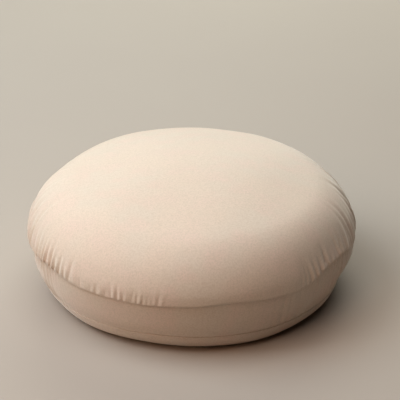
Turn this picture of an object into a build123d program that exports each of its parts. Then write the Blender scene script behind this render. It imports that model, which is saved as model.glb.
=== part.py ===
"""Round boxed cushion: a zipped velvet cover over a sewn inner bag of fibre filling.

Millimetres, +Z up. The origin is the centre of the face the cushion rests on, and +Y is its zipped back.
Every sewn piece is a revolved section. The side band's layers are drawn in polar coordinates about the
centre of the band's bulge, so that a layer's depth is measured straight in from the cover's outside.
"""

from build123d import *
from math import asin, atan2, cos, degrees, hypot, pi, radians, sin
import os

# Outside shape
overall_radius = 300.0
overall_height = 238.0
widest_height = 107.5
shoulder_radius = 104.0
tuck_radius = 7.0  # the top panel curls in to its seam
tuck_end_angle = 230.0
bottom_seam_radius = 277.0
bottom_seam_height = 36.0
rest_face_radius = 236.0
band_bulge = 6.0

# Cloth and thread
velvet = 1.5
layer_gap = 0.1
seam_allowance = 10.0
thread_radius = 0.35
overlock_radius = 0.8
liner_cloth = 0.8
bag_depth = 2.5  # from the cover's outside to the inner bag's, over the crown and under the base
bag_depth_at_band = 6.2  # the same at the side band, behind the seam allowances and the zip
bag_seam_from_corner = 1.0
bag_tuck_turn = 25.0  # how far the bag curls in above the cover's turned-in edge
closing_length = 250.0  # the stretch sewn shut once the bag was filled
fill_gap = 0.5

# Zip, centred on the back
back_azimuth = 90.0
zip_panel_half_angle = 52.0
zip_slot_half_width = 6.0
zip_turn_under = 12.0
topstitch_from_fold = 3.5
topstitch_width = 0.4
topstitch_proud = 0.15
tape_thickness = 0.6
tape_half_gap = 1.0
tape_outer_edge = 17.0
coil_half_width = 3.0
coil_top_depth = 0.9
stop_length = 3.0
stop_from_panel_end = 3.0  # degrees of azimuth
slider_travel = 92.0  # degrees of azimuth

# Slider, in its own frame: X along the zip, Y across it and up, Z outwards
slider_length = 14.0
slider_nose_width = 5.6
slider_wide_end = 9.8  # beside the neck, where the coils part
slider_narrow_end = 8.4  # where the joined coils come out
slider_nose_length = 2.6
slider_corner = 1.1
slider_rail = 1.0
slider_plate = 0.9
slider_clearance = 0.3
slider_neck_width = 1.6
slider_neck_length = 3.0
bridge_width = 2.2
bridge_length = 10.0
bridge_bar = 1.1
bridge_foot = 1.3
tunnel_height = 1.8
pull_length = 26.0
pull_width = 6.0
pull_thickness = 1.1
pull_cross_bar_radius = 0.5
pull_hole_width = 3.2
pull_hole_end = 6.4

# Care label, sewn into the bottom seam just past the zip
label_width = 30.0
label_drop = 27.0
label_thickness = 0.8
label_azimuth = 156.0

# Worked out from the dimensions above
shoulder_centre_r = overall_radius - shoulder_radius
crown_rise = overall_height - widest_height
crown_radius = (shoulder_centre_r**2 + crown_rise**2 - shoulder_radius**2) / (
    2 * (crown_rise - shoulder_radius)
)
crown_centre_z = overall_height - crown_radius
crown_end_angle = degrees(atan2(widest_height - crown_centre_z, shoulder_centre_r))
tuck_centre_r = overall_radius - tuck_radius
top_seam_radius = tuck_centre_r + tuck_radius * cos(radians(tuck_end_angle))
top_seam_height = widest_height + tuck_radius * sin(radians(tuck_end_angle))
base_corner_run = bottom_seam_radius - rest_face_radius
base_corner_radius = (base_corner_run**2 + bottom_seam_height**2) / (2 * bottom_seam_height)
base_corner_end_angle = degrees(
    atan2(bottom_seam_height - base_corner_radius, base_corner_run)
)

band_chord_r = top_seam_radius - bottom_seam_radius
band_chord_z = top_seam_height - bottom_seam_height
band_chord = hypot(band_chord_r, band_chord_z)
band_radius = ((band_chord / 2) ** 2 + band_bulge**2) / (2 * band_bulge)
band_lean = degrees(atan2(band_chord_r, band_chord_z))
band_half_angle = degrees(asin(band_chord / 2 / band_radius))
band_centre_r = (top_seam_radius + bottom_seam_radius) / 2 - (
    band_radius - band_bulge
) * cos(radians(band_lean))
band_centre_z = (top_seam_height + bottom_seam_height) / 2 + (
    band_radius - band_bulge
) * sin(radians(band_lean))
band_half_length = radians(band_half_angle) * band_radius

hem_depth = 2 * velvet + layer_gap
panel_allowance_depth = hem_depth + layer_gap
tape_depth = hem_depth + layer_gap
zip_track_radius = band_centre_r + band_radius * cos(radians(band_lean))
zip_track_height = band_centre_z - band_radius * sin(radians(band_lean))
panel_start = back_azimuth - zip_panel_half_angle
panel_sweep = 2 * zip_panel_half_angle
join_gap_angle = degrees(layer_gap / zip_track_radius)
hem_angle = degrees(seam_allowance / zip_track_radius)
stop_angle = degrees(stop_length / zip_track_radius)
front_stop_azimuth = panel_start + stop_from_panel_end
slider_front_gap = 1.0
slider_azimuth = front_stop_azimuth + degrees(
    (stop_length + slider_front_gap + slider_length / 2) / zip_track_radius
)
back_stop_azimuth = (
    slider_azimuth
    + slider_travel
    + degrees((slider_length / 2 + slider_front_gap) / zip_track_radius)
)


def point(radius, angle):
    """A point at a polar angle in degrees."""
    return radius * cos(radians(angle)), radius * sin(radians(angle))


def arc(centre, radius, start, end):
    """An arc about a centre, from one angle to another, in degrees."""
    return CenterArc((*centre, 0), radius, start, end - start)


def ring_sector(centre, inner, outer, start, end):
    """The flat piece between two arcs about a centre, from one angle to another, in degrees."""
    outside, inside = arc(centre, outer, start, end), arc(centre, inner, start, end)
    ends = [Line(outside @ 0, inside @ 0), Line(outside @ 1, inside @ 1)]
    return make_face([outside, inside] + ends)


def band_layer(depth_out, depth_in, low, high):
    """A layer of the side band: depths in from its outside, and distances along it up from its middle."""
    turn = degrees(1 / band_radius)
    return ring_sector(
        (band_centre_r, band_centre_z),
        band_radius - depth_in,
        band_radius - depth_out,
        low * turn - band_lean,
        high * turn - band_lean,
    )


def band_point(depth, along):
    """A point of the section at a depth inside the band and a distance up along it."""
    r, z = point(band_radius - depth, degrees(along / band_radius) - band_lean)
    return band_centre_r + r, band_centre_z + z


def turned(section, start=0.0, sweep=360.0):
    """The section revolved about the cushion's axis, from one azimuth, through a sweep."""
    solid = revolve(Plane.XZ * section, axis=Axis.Z, revolution_arc=sweep)
    return Rot(0, 0, start) * solid


def ring_thread(depth, along, radius, start=0.0, sweep=360.0):
    """A round thread that runs around the cushion at a place in the band's section."""
    return turned(Pos(*band_point(depth, along)) * Circle(radius), start, sweep)


def save(name, *shapes):
    """Writes one node: one solid, or a group of the same kind."""
    solids = [solid for shape in shapes for solid in shape.solids()]
    export_step(solids[0] if len(solids) == 1 else Compound(children=solids), f"parts/{name}.step")


# The cover


def crown_arc(depth):
    """The top's section at a depth, from the middle to the shoulder."""
    return arc((0, crown_centre_z), crown_radius - depth, 90, crown_end_angle)


def shoulder_arc(depth):
    """The top's section at a depth, from the shoulder to the widest point."""
    return arc((shoulder_centre_r, widest_height), shoulder_radius - depth, crown_end_angle, 0)


def crown_strip():
    """The top panel's section from the middle to the widest point."""
    outside = [crown_arc(0), shoulder_arc(0)]
    inside = [crown_arc(velvet), shoulder_arc(velvet)]
    ends = [Line(outside[0] @ 0, inside[0] @ 0), Line(outside[1] @ 1, inside[1] @ 1)]
    return make_face(outside + inside + ends)


def top_panel():
    tuck_overlap = 8.0  # degrees that the curl runs on into the turned-in edge
    tuck = ring_sector(
        (tuck_centre_r, widest_height),
        tuck_radius - velvet,
        tuck_radius,
        tuck_end_angle - 360 - tuck_overlap,
        0,
    )
    edge = band_half_length + layer_gap
    ledge = band_layer(0.2, panel_allowance_depth + velvet, edge, edge + velvet)
    allowance = band_layer(
        panel_allowance_depth,
        panel_allowance_depth + velvet,
        band_half_length - seam_allowance,
        edge + velvet,
    )
    return turned(crown_strip() + tuck + ledge + allowance)


def bottom_panel():
    disc = Pos(rest_face_radius / 2, velvet / 2) * Rectangle(rest_face_radius, velvet)
    corner = ring_sector(
        (rest_face_radius, base_corner_radius),
        base_corner_radius - velvet,
        base_corner_radius,
        -90,
        base_corner_end_angle,
    )
    edge = -band_half_length - layer_gap
    ledge = band_layer(0.2, panel_allowance_depth + velvet, edge - velvet, edge)
    allowance = band_layer(
        panel_allowance_depth,
        panel_allowance_depth + velvet,
        edge - velvet,
        seam_allowance - band_half_length,
    )
    return turned(disc + corner + ledge + allowance)


def front_band():
    """The plain strip round the front and sides, hemmed double at its seams and at its two ends."""
    start = panel_start + panel_sweep + join_gap_angle / 2
    sweep = 360 - panel_sweep - join_gap_angle
    strip = band_layer(0, velvet, -band_half_length, band_half_length)
    hems = band_layer(0, hem_depth, band_half_length - seam_allowance, band_half_length)
    hems += band_layer(0, hem_depth, -band_half_length, seam_allowance - band_half_length)
    turned_end = band_layer(0, hem_depth, -band_half_length, band_half_length)
    body = turned(strip + hems, start, sweep)
    body += turned(turned_end, start, hem_angle)
    body += turned(turned_end, start + sweep - hem_angle, hem_angle)
    return body


def zip_band(side):
    """One strip of the zip panel, above (side 1) or below (side -1) the zip."""
    start = panel_start + join_gap_angle / 2
    sweep = panel_sweep - join_gap_angle

    def layer(depth, near, far):
        low, high = sorted((side * near, side * far))
        return band_layer(0, depth, low, high)

    strip = layer(velvet, zip_slot_half_width, band_half_length)
    fold = layer(hem_depth, zip_slot_half_width, zip_slot_half_width + zip_turn_under)
    hem = layer(hem_depth, band_half_length - seam_allowance, band_half_length)
    return turned(strip + fold + hem, start, sweep)


# The zip


def zip_tape(side):
    low, high = sorted((side * tape_half_gap, side * tape_outer_edge))
    tape = band_layer(tape_depth, tape_depth + tape_thickness, low, high)
    return turned(tape, panel_start + join_gap_angle / 2, panel_sweep - join_gap_angle)


def zip_coil(side):
    """One side's row of interlocking coils, as a plain strip of their outer size."""
    low, high = sorted((side * layer_gap / 2, side * coil_half_width))
    strip = band_layer(coil_top_depth, tape_depth - layer_gap / 2, low, high)
    neck_end = slider_neck_length + 1 - slider_length / 2
    start = slider_azimuth + degrees((neck_end + 0.5) / zip_track_radius)
    return turned(strip, start, back_stop_azimuth - start - join_gap_angle)


def zip_stop(azimuth, low, high):
    """A stop crimped through the edge of the tape."""
    block = band_layer(coil_top_depth, tape_depth + tape_thickness + 0.4, low, high)
    return turned(block, azimuth, stop_angle)


def in_slider_frame(shape):
    """Moves a shape from the slider's own frame to its place on the track at the closed end."""
    stand_up = Rot(0, 0, 90) * Rot(90, 0, 0)  # X along the track, Y up, Z outwards
    leant = Rot(0, band_lean, 0) * stand_up
    place = Pos(zip_track_radius, 0, zip_track_height) * leant
    return Rot(0, 0, slider_azimuth) * place * shape


def block(x_low, x_high, y_half, z_low, z_high):
    size = Box(x_high - x_low, 2 * y_half, z_high - z_low)
    return Pos((x_low + x_high) / 2, 0, (z_low + z_high) / 2) * size


plate_under = -coil_top_depth + slider_clearance
plate_top = plate_under + slider_plate
lower_plate_top = -(tape_depth + tape_thickness + slider_clearance)


def slider_plate_piece(z_low):
    """One plate of the slider: a short nose, widest beside the neck, then narrower to the other end."""
    back, widest, front = -slider_length / 2, slider_nose_length - slider_length / 2, slider_length / 2
    side = [(back, slider_nose_width / 2), (widest, slider_wide_end / 2), (front, slider_narrow_end / 2)]
    other_side = [(x, -y) for x, y in reversed(side)]
    outline = make_face(Polyline(*side, *other_side, close=True))
    plate = extrude(Pos(0, 0, z_low) * outline, amount=slider_plate, dir=(0, 0, 1))
    return fillet(plate.edges().filter_by(Axis.Z), slider_corner)


def slider_body():
    """Two plates joined by the neck that parts the coils, with rails that hold the coils together."""
    half = slider_length / 2
    neck = block(
        1 - half, 1 + slider_neck_length - half, slider_neck_width / 2, lower_plate_top, plate_under
    )
    rail_depth = tape_depth - coil_top_depth
    rail_start, rail_end = slider_nose_length + 1 - half, half - 1.5
    rail = block(rail_start, rail_end, slider_rail / 2, plate_under - rail_depth, plate_under)
    rail_place = (slider_narrow_end - slider_rail) / 2
    rails = [Pos(0, y * rail_place, 0) * rail for y in (-1, 1)]
    plates = slider_plate_piece(plate_under) + slider_plate_piece(lower_plate_top - slider_plate)
    return in_slider_frame(plates + neck + rails[0] + rails[1])


def slider_bridge():
    """The arch on the slider that the pull's cross bar lies under."""
    half = bridge_length / 2
    arch = block(-half, half, bridge_width / 2, plate_top, plate_top + tunnel_height + bridge_bar)
    arch = fillet(arch.edges().filter_by(Axis.Y).group_by(Axis.Z)[-1], 1.6)
    tunnel = block(bridge_foot - half, half - bridge_foot, bridge_width, 0, tunnel_height)
    return in_slider_frame(arch - Pos(0, 0, plate_top) * tunnel)


pull_height = plate_top + tunnel_height / 2


def pull_tab():
    """A flat tab with a window that straddles the bridge, and a round bar under it."""
    back = -pull_cross_bar_radius
    tab = block(back, pull_length + back, pull_width / 2, -pull_thickness / 2, pull_thickness / 2)
    tab = fillet(tab.edges().filter_by(Axis.Z).group_by(Axis.X)[-1], 2.6)
    window = block(back, pull_hole_end, pull_hole_width / 2, -pull_thickness, pull_thickness)
    grip_hole = Pos(pull_length - 5, 0, 0) * Cylinder(1.5, 2 * pull_thickness)
    bar = Rot(90, 0, 0) * Cylinder(pull_cross_bar_radius, pull_width)
    return in_slider_frame(Pos(0, 0, pull_height) * (tab - window - grip_hole + bar))


# The inner bag and its filling


def core(depth):
    """The section of what the cover holds, at a depth inside the inner bag's outside."""
    top_depth, band_depth = bag_depth + depth, bag_depth_at_band + depth
    crown, shoulder = crown_arc(top_depth), shoulder_arc(top_depth)
    tuck = arc((tuck_centre_r, widest_height), tuck_radius - top_depth, 0, -bag_tuck_turn)
    waist_radius = band_radius - band_depth
    band_top = degrees(asin(((tuck @ 1).Y - band_centre_z) / waist_radius))
    ledge_end = -degrees((band_half_length + layer_gap + velvet) / band_radius) - band_lean
    waist = arc((band_centre_r, band_centre_z), waist_radius, band_top, ledge_end)
    corner_start = base_corner_end_angle - 5  # degrees, which clears the bottom panel's turned-in edge
    corner_centre = (rest_face_radius, base_corner_radius)
    corner = arc(corner_centre, base_corner_radius - top_depth, corner_start, -90)
    links = [
        Line(tuck @ 1, waist @ 0),
        Line(waist @ 1, corner @ 0),
        Line(corner @ 1, (0, top_depth)),
        Line((0, top_depth), crown @ 0),
    ]
    return make_face([crown, shoulder, tuck, waist, corner] + links)


bag_tuck_drop = (tuck_radius - bag_depth) * sin(radians(bag_tuck_turn))
bag_top_seam = widest_height - bag_tuck_drop - bag_seam_from_corner
bag_bottom_seam = (
    band_point(bag_depth_at_band, -band_half_length - velvet)[1] + bag_seam_from_corner
)


def bag_piece(low, high):
    """The part of the inner bag's cloth between two heights."""
    cloth = core(0) - core(liner_cloth)
    window = Rectangle(2 * overall_radius, high - low - layer_gap)
    return turned(cloth & (Pos(overall_radius, (low + high) / 2) * window))


def bag_thread(height, start=0.0, sweep=360.0):
    """A seam's thread, round the inner bag at a height."""
    middle_radius = band_radius - bag_depth_at_band - liner_cloth / 2
    r = band_centre_r + (middle_radius**2 - (height - band_centre_z) ** 2) ** 0.5
    return turned(Pos(r, height) * Circle(thread_radius), start, sweep)


def closing_stitches():
    """A second row just above the bag's lower seam, over the stretch it was filled through."""
    sweep = degrees(closing_length / bottom_seam_radius)
    height = bag_bottom_seam + 3 * bag_seam_from_corner
    return bag_thread(height, back_azimuth - sweep / 2, sweep)


# Threads and the label


def seam_threads(side):
    """The row that joins a panel to the band, 2 mm in from the seam."""
    return ring_thread(hem_depth + layer_gap / 2, side * (band_half_length - 2), thread_radius)


def overlock(side):
    """The edging over the two raw edges inside a seam."""
    edge = side * (band_half_length - seam_allowance)
    return ring_thread(hem_depth + layer_gap / 2, edge, overlock_radius)


def join_thread(azimuth):
    """The upright row that joins the front band's end to the zip panel's."""
    reach = band_half_angle - 1
    spot = Pos(band_centre_r + band_radius - velvet, 0, band_centre_z) * Circle(thread_radius)
    pivot = Axis((band_centre_r, 0, band_centre_z), (0, 1, 0))
    row = revolve(spot, axis=pivot, revolution_arc=2 * reach)
    return Rot(0, 0, azimuth) * row.rotate(pivot, band_lean - reach)


def topstitch(side):
    """A row of stitches through the fold and the tape beside the zip."""
    row = side * (zip_slot_half_width + topstitch_from_fold)
    half = topstitch_width / 2
    through = band_layer(-topstitch_proud, tape_depth + tape_thickness + 0.1, row - half, row + half)
    clear_of_joins = 2 * join_gap_angle + degrees(2 * thread_radius / zip_track_radius)
    return turned(through, panel_start + clear_of_joins, panel_sweep - 2 * clear_of_joins)


def care_label():
    """A blank folded ribbon that hangs from the bottom seam."""
    sweep = degrees(label_width / bottom_seam_radius)
    hung = Pos(bottom_seam_radius + 0.7, bottom_seam_height - label_drop / 2)
    sewn_depth = 4.0
    sewn = Pos(bottom_seam_radius + 1.1 - sewn_depth / 2, bottom_seam_height)
    section = hung * Rectangle(label_thickness, label_drop)
    section += sewn * Rectangle(sewn_depth, label_thickness)
    return turned(section, label_azimuth - sweep / 2, sweep)


os.makedirs("parts", exist_ok=True)
save("top_panel", top_panel())
save("bottom_panel", bottom_panel())
save("front_band", front_band())
save("zip_band_upper", zip_band(1))
save("zip_band_lower", zip_band(-1))
save("zip_tape_upper", zip_tape(1))
save("zip_tape_lower", zip_tape(-1))
save("zip_coil_upper", zip_coil(1))
save("zip_coil_lower", zip_coil(-1))
stop_near, stop_far = tape_half_gap, coil_half_width
save(
    "zip_top_stops",
    zip_stop(front_stop_azimuth, stop_near, stop_far),
    zip_stop(front_stop_azimuth, -stop_far, -stop_near),
)
save("zip_bottom_stop", zip_stop(back_stop_azimuth, -stop_far, stop_far))
save("slider_body", slider_body())
save("slider_bridge", slider_bridge())
save("pull_tab", pull_tab())
save("top_seam_thread", seam_threads(1))
save("bottom_seam_thread", seam_threads(-1))
save("top_seam_overlock", overlock(1))
save("bottom_seam_overlock", overlock(-1))
save("band_join_threads", join_thread(panel_start), join_thread(panel_start + panel_sweep))
save("zip_topstitch_upper", topstitch(1))
save("zip_topstitch_lower", topstitch(-1))
save("care_label", care_label())
save("liner_top", bag_piece(bag_top_seam, overall_height))
save("liner_band", bag_piece(bag_bottom_seam, bag_top_seam))
save("liner_bottom", bag_piece(0, bag_bottom_seam))
save("liner_top_seam_thread", bag_thread(bag_top_seam))
save("liner_bottom_seam_thread", bag_thread(bag_bottom_seam))
save("liner_closing_stitches", closing_stitches())
save("fibre_fill", turned(core(liner_cloth + fill_gap)))

hinge = in_slider_frame(Pos(0, 0, pull_height) * Box(1, 1, 1)).center()
print("zip turns about Z at height", zip_track_height, "track radius", zip_track_radius)
print("slider azimuth", slider_azimuth, "back stop azimuth", back_stop_azimuth)
print("pull hinge", hinge, "lean", band_lean)
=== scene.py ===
"""The looks of a round boxed floor cushion in cream velvet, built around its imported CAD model.

Metres, +Z up, +Y the zipped back. The cover's cloth is a grid of rings about the cushion's axis. A small
cloth solver relaxes it between its two seams, with more cloth fed in where it is eased on to a seam, so that
it puckers there. The cover's panels and side band are closed shells made from that grid. The threads, the zip
and the inner bag follow the cover's even section, and the filling's lumps move everything together.
"""

import bpy
import numpy as np
from math import asin, atan2, cos, hypot, pi, radians, sin
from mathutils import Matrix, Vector


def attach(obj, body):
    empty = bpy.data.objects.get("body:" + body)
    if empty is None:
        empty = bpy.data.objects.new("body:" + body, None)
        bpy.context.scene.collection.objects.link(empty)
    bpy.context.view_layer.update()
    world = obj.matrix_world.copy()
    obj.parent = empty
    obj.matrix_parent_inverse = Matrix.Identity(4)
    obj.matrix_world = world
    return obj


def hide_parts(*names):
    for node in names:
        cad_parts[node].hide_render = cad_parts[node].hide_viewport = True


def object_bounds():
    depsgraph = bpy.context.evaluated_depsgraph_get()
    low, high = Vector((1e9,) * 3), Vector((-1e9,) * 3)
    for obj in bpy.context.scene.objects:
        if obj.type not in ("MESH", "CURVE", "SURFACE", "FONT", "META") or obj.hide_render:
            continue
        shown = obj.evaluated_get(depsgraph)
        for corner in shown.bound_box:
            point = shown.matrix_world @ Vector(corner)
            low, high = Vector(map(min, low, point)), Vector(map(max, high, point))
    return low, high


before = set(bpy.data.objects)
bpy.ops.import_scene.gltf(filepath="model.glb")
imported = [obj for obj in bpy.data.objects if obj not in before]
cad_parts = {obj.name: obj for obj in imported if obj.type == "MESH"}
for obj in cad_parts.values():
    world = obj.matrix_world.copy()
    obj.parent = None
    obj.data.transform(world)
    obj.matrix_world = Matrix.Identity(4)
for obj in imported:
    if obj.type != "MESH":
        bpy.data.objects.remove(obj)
cad_low, cad_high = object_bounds()
mm = 0.001

# Camera and light
camera_elevation = 27.5
camera_distance = 3.333
camera_lens = 162
sensor_width = 36
sight_height = 0.090  # the height on the cushion's axis that the camera's distance is measured from
aim_right = 0.0161  # the camera aims past that point, so the cushion sits a little left and low
aim_up = 0.0661
light_distance = 3.0
light_size = 2.4
light_target_height = 0.1
# Each light's name, azimuth and elevation in degrees, power in watts and colour
lights = [
    ("window", 178, 46, 95, (0.73, 0.91, 1.0)),
    ("left", 223, 42, 38, (1.0, 0.66, 0.45)),
    ("top", 285, 83, 37, (1.0, 1.0, 0.97)),
    ("back", 85, 27, 60, (0.94, 1.0, 0.90)),
]
world_colour = (1.0, 0.74, 0.50)
world_strength = 0.006
floor_half_width = 12.0
floor_drop = 0.3 * mm  # the floor lies this much under the cushion

# The cover's outside section, as the CAD model has it
overall_radius = cad_high.x
overall_height = cad_high.z
widest_height = 107.5 * mm
shoulder_radius = 104 * mm
tuck_radius = 7 * mm
tuck_end_angle = radians(230)
bottom_seam_radius = 277 * mm
bottom_seam_height = 36 * mm
rest_face_radius = 236 * mm
band_bulge = 6 * mm

# Cloth and thread
velvet = 1.5 * mm
layer_gap = 0.1 * mm
seam_allowance = 10 * mm
allowance_rows = (-3 * mm, -6.5 * mm)  # across the allowance, measured from the seam
seam_row_inset = 2 * mm  # from the band's edge to the row that joins it to a panel
thread_radius = 0.35 * mm
seam_stitch = 3 * mm
points_per_stitch = 4
stitch_dip = 0.15 * mm
overlock_pitch = 3.5 * mm
overlock_turn_radius = 0.62 * mm
overlock_thread_radius = 0.18 * mm
liner_cloth = 0.8 * mm
bag_depth = 4 * mm  # from the cover's outside to the inner bag's, over the crown and under the base
bag_depth_at_band = 6.2 * mm  # the same behind the seam allowances and the zip
bag_depth_at_puckers = 12.5 * mm  # and behind the top panel's puckers
bag_top = 104.6 * mm
bag_bottom = 35 * mm
bag_closing_length = 250 * mm
bag_closing_rise = 3 * mm  # from the bottom seam up to the row that closes the bag
bag_point_gap = 5 * mm  # between the points of the bag's section
bag_normal_reach = 10 * mm
bag_crease = 0.5 * mm
fill_crease = 3 * mm
fill_gap = 0.5 * mm

# Zip
back_azimuth = radians(90)
zip_panel_half_angle = radians(52)
zip_slot_half_width = 6 * mm
zip_turn_under = 12 * mm
topstitch_from_fold = 3.5 * mm
topstitch_length = 2.7 * mm
topstitch_gap = 0.5 * mm
topstitch_margin = 4 * mm  # from each end of the zip panel to its first stitch
topstitch_radius = 0.24 * mm
topstitch_proud = 0.15 * mm
topstitch_sink = 0.4 * mm  # from a stitch's middle to its ends
tape_thickness = 0.6 * mm
tape_half_gap = 1 * mm
tape_outer_edge = 17 * mm
coil_half_width = 3 * mm
coil_top_depth = 0.9 * mm
coil_pitch = 1.5 * mm
coil_wire_radius = 0.33 * mm
coil_overlap = 0.5 * mm  # how far each coil's heads pass the middle
coil_turn_points = 14
coil_squareness = 0.8  # 1 is a round turn, and less is a squarer one

# Care label
label_width = 30 * mm
label_drop = 27 * mm
label_azimuth = radians(156)
label_stand_off = 1.1 * mm
label_fold_radius = 0.4 * mm
label_half_thickness = 0.13 * mm
label_tuck = 4 * mm  # how far its ends go in at the seam
label_tuck_rise = 0.3 * mm
label_curl = 2.2 * mm

# Worked out from the dimensions above
shoulder_centre_r = overall_radius - shoulder_radius
crown_rise = overall_height - widest_height
crown_radius = (shoulder_centre_r**2 + crown_rise**2 - shoulder_radius**2) / (
    2 * (crown_rise - shoulder_radius)
)
crown_centre_z = overall_height - crown_radius
crown_end_angle = atan2(widest_height - crown_centre_z, shoulder_centre_r)
tuck_centre_r = overall_radius - tuck_radius
top_seam_radius = tuck_centre_r + tuck_radius * cos(tuck_end_angle)
top_seam_height = widest_height + tuck_radius * sin(tuck_end_angle)
base_corner_run = bottom_seam_radius - rest_face_radius
base_corner_radius = (base_corner_run**2 + bottom_seam_height**2) / (2 * bottom_seam_height)
base_corner_end_angle = atan2(bottom_seam_height - base_corner_radius, base_corner_run)
band_chord_r = top_seam_radius - bottom_seam_radius
band_chord_z = top_seam_height - bottom_seam_height
band_chord = hypot(band_chord_r, band_chord_z)
band_radius = ((band_chord / 2) ** 2 + band_bulge**2) / (2 * band_bulge)
band_lean = atan2(band_chord_r, band_chord_z)
half_band = asin(band_chord / 2 / band_radius) * band_radius
band_centre_r = (top_seam_radius + bottom_seam_radius) / 2 - (band_radius - band_bulge) * cos(band_lean)
band_centre_z = (top_seam_height + bottom_seam_height) / 2 + (band_radius - band_bulge) * sin(band_lean)
hem_depth = 2 * velvet + layer_gap
allowance_depth = hem_depth + layer_gap
tape_depth = hem_depth + layer_gap
zip_radius = band_centre_r + band_radius * cos(band_lean)
zip_height = band_centre_z - band_radius * sin(band_lean)
panel_start = back_azimuth - zip_panel_half_angle
panel_sweep = 2 * zip_panel_half_angle
join_gap = layer_gap / zip_radius

# The cloth grid: rings from high on the top panel, down the side band and in under the base
columns = 2304
band_column_step = 2  # the side band's mesh has every second column
upper_reach = 170 * mm
first_step = 1.8 * mm
upper_growth = 1.035
upper_last_step = 6 * mm
base_growth = 1.05
base_last_step = 4 * mm
base_margin = 4 * mm
band_rows = 34
crown_ring_count = 33  # and the smooth middles beyond the cloth grid
base_ring_count = 43


# Shared sums


def full_turn(count):
    """Angles evenly spaced around the axis."""
    return np.arange(count) * 2 * pi / count


def around_axis(r, z, azimuth):
    """Points at radii, heights and azimuths: arrays of one shape, or single values."""
    return np.stack([r * np.cos(azimuth), r * np.sin(azimuth), z + 0 * azimuth], -1)


def unit(vectors):
    """Vectors made one long."""
    return vectors / np.linalg.norm(vectors, axis=-1, keepdims=True)


def bell(distance):
    """1 at 0, falling smoothly to nearly 0 at 2."""
    return np.exp(-(distance**2))


def turn_from(angle, centre):
    """How far an angle is from another, between -180 and 180. All in degrees."""
    return (angle - centre + 180) % 360 - 180


def near(angle, centre, width):
    """1 at an angle, falling to 0 about twice the width away. All in degrees."""
    return bell(turn_from(angle, centre) / width)


def ramp(value, low, high):
    """0 below low, 1 above high, and smooth between."""
    t = np.clip((value - low) / (high - low), 0, 1)
    return t * t * (3 - 2 * t)


def between(value, rise, fall):
    """0 outside two stretches and 1 between them, smooth over each."""
    return ramp(value, *rise) * (1 - ramp(value, *fall))


def graded(length, first, growth, last):
    """Distances from 0 to a length whose step grows from first by a ratio, up to last."""
    distances, step = [0.0], first
    while distances[-1] < length:
        distances.append(distances[-1] + step)
        step = min(step * growth, last)
    return np.array(distances) * length / distances[-1]


azimuths = full_turn(columns)
azimuth_degrees = np.degrees(azimuths)


# The section and the places in it


def arc(centre, radius, start, end, count):
    """Points (r, z) along an arc from one angle to another."""
    turn = np.linspace(start, end, count)
    return np.stack([centre[0] + radius * np.cos(turn), centre[1] + radius * np.sin(turn)], 1)


def cover_section():
    """The cover's outside section from crown to base, and how far along it the seams are."""
    half = half_band / band_radius
    stretches = [
        arc((0, crown_centre_z), crown_radius, pi / 2, crown_end_angle, 300),
        arc((shoulder_centre_r, widest_height), shoulder_radius, crown_end_angle, 0, 400),
        arc((tuck_centre_r, widest_height), tuck_radius, 0, tuck_end_angle - 2 * pi, 60),
        arc((band_centre_r, band_centre_z), band_radius, half - band_lean, -half - band_lean, 120),
        arc((rest_face_radius, base_corner_radius), base_corner_radius, base_corner_end_angle, -pi / 2, 160),
        np.stack([np.linspace(rest_face_radius, 0, 100), np.zeros(100)], 1),
    ]
    section = np.concatenate([stretches[0]] + [stretch[1:] for stretch in stretches[1:]])
    along = np.append(0, np.cumsum(np.hypot(*np.diff(section, axis=0).T)))
    ends = np.cumsum([len(stretch) - 1 for stretch in stretches])
    return section, along, *along[ends[2:5]]


section, section_lengths, at_top_seam, at_bottom_seam, at_corner_end = cover_section()


def section_at(along):
    """Points (r, z) of the outside section at distances along it."""
    r = np.interp(along, section_lengths, section[:, 0])
    z = np.interp(along, section_lengths, section[:, 1])
    return np.stack([r, z], -1)


def section_normals(along, reach=mm):
    """The section's outward directions (r, z), measured over a reach to each side."""
    change = unit(section_at(along + reach) - section_at(along - reach))
    return np.stack([-change[..., 1], change[..., 0]], -1)


def turned(points, azimuth):
    """Rows (r, z) turned about the axis to azimuths: points of rows by columns by 3."""
    return around_axis(points[..., :1], points[..., 1:], azimuth)


def band_point(depth, along):
    """(r, z) at a depth inside the side band and a distance up along it from its middle."""
    angle = along / band_radius - band_lean
    reach = band_radius - depth
    return np.stack([band_centre_r + reach * np.cos(angle), band_centre_z + reach * np.sin(angle)], -1)


# Lumps in the whole cushion, the same for the cover, its threads and the inner bag

# Where the filling stands out from the even shape or falls short of it. Azimuth and its spread in degrees,
# height and its spread, then how far the cloth moves out and up, all four in millimetres.
lumps = [
    (262, 62, 102, 24, 0.0, 5.0),
    (213, 11, 102, 18, 0.0, 8.5),
    (254, 7, 102, 16, 0.0, -1.5),
    (283, 8, 102, 16, 0.0, 4.5),
    (306, 5, 102, 14, 0.0, -2.5),
    (321, 4, 102, 14, 0.0, 5.0),
    (331, 12, 102, 24, 0.0, 18.0),
    (350, 17, 80, 20, 6.0, 0.0),
    (344, 12, 50, 20, -3.0, 0.0),
    (257, 14, 34, 16, 0.0, 2.5),
    (300, 12, 34, 14, 0.0, -1.5),
    (250, 18, 8, 14, -2.5, 1.5),
    (296, 14, 8, 14, 4.0, 0.0),
    (209, 14, 15, 18, -2.5, 0.5),
    (191, 10, 66, 25, 2.0, 0.0),
    (58, 12, 200, 40, 0.0, 3.0),
    (120, 16, 200, 40, 0.0, 2.0),
    (154, 14, 185, 35, -2.0, -2.5),
    (18, 16, 180, 35, -1.5, -1.5),
]

# From the front left round to the right, the top seam draws the cloth in less: the share that it lets out,
# and the azimuths in degrees between which this comes and goes
slack_share = 0.72
slack_comes = (195, 240)
slack_goes = (350, 385)
slack_height_spread = 22 * mm
slack_most = 12 * mm
slack_lift = 0.5  # the rise of cloth that is let out, as a share of how far it moves out

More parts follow.
